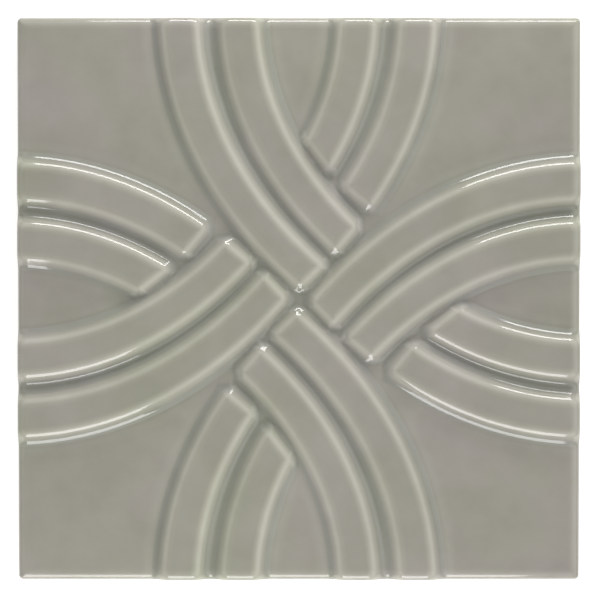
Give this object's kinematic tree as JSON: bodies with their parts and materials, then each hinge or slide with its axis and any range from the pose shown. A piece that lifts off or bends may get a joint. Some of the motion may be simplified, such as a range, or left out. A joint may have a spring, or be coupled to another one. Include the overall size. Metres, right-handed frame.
{
  "type": "relief wall tile",
  "caption": "Square glazed ceramic wall tile with raised double bands that sweep in from the edges and interlace about the middle.",
  "frame": {"origin": "middle of the flat back, on the surface that the tile lies on", "axes": "+Z out of the glazed face, +X and +Y along two edges; the pattern repeats at each quarter turn about Z"},
  "size_m": [0.15, 0.15, 0.0098],
  "materials": {
    "grey_glaze": "gloss warm grey glaze over a pale fired body"
  },
  "bodies": {
    "root": {"tile": "grey_glaze"}
  },
  "joints": []
}
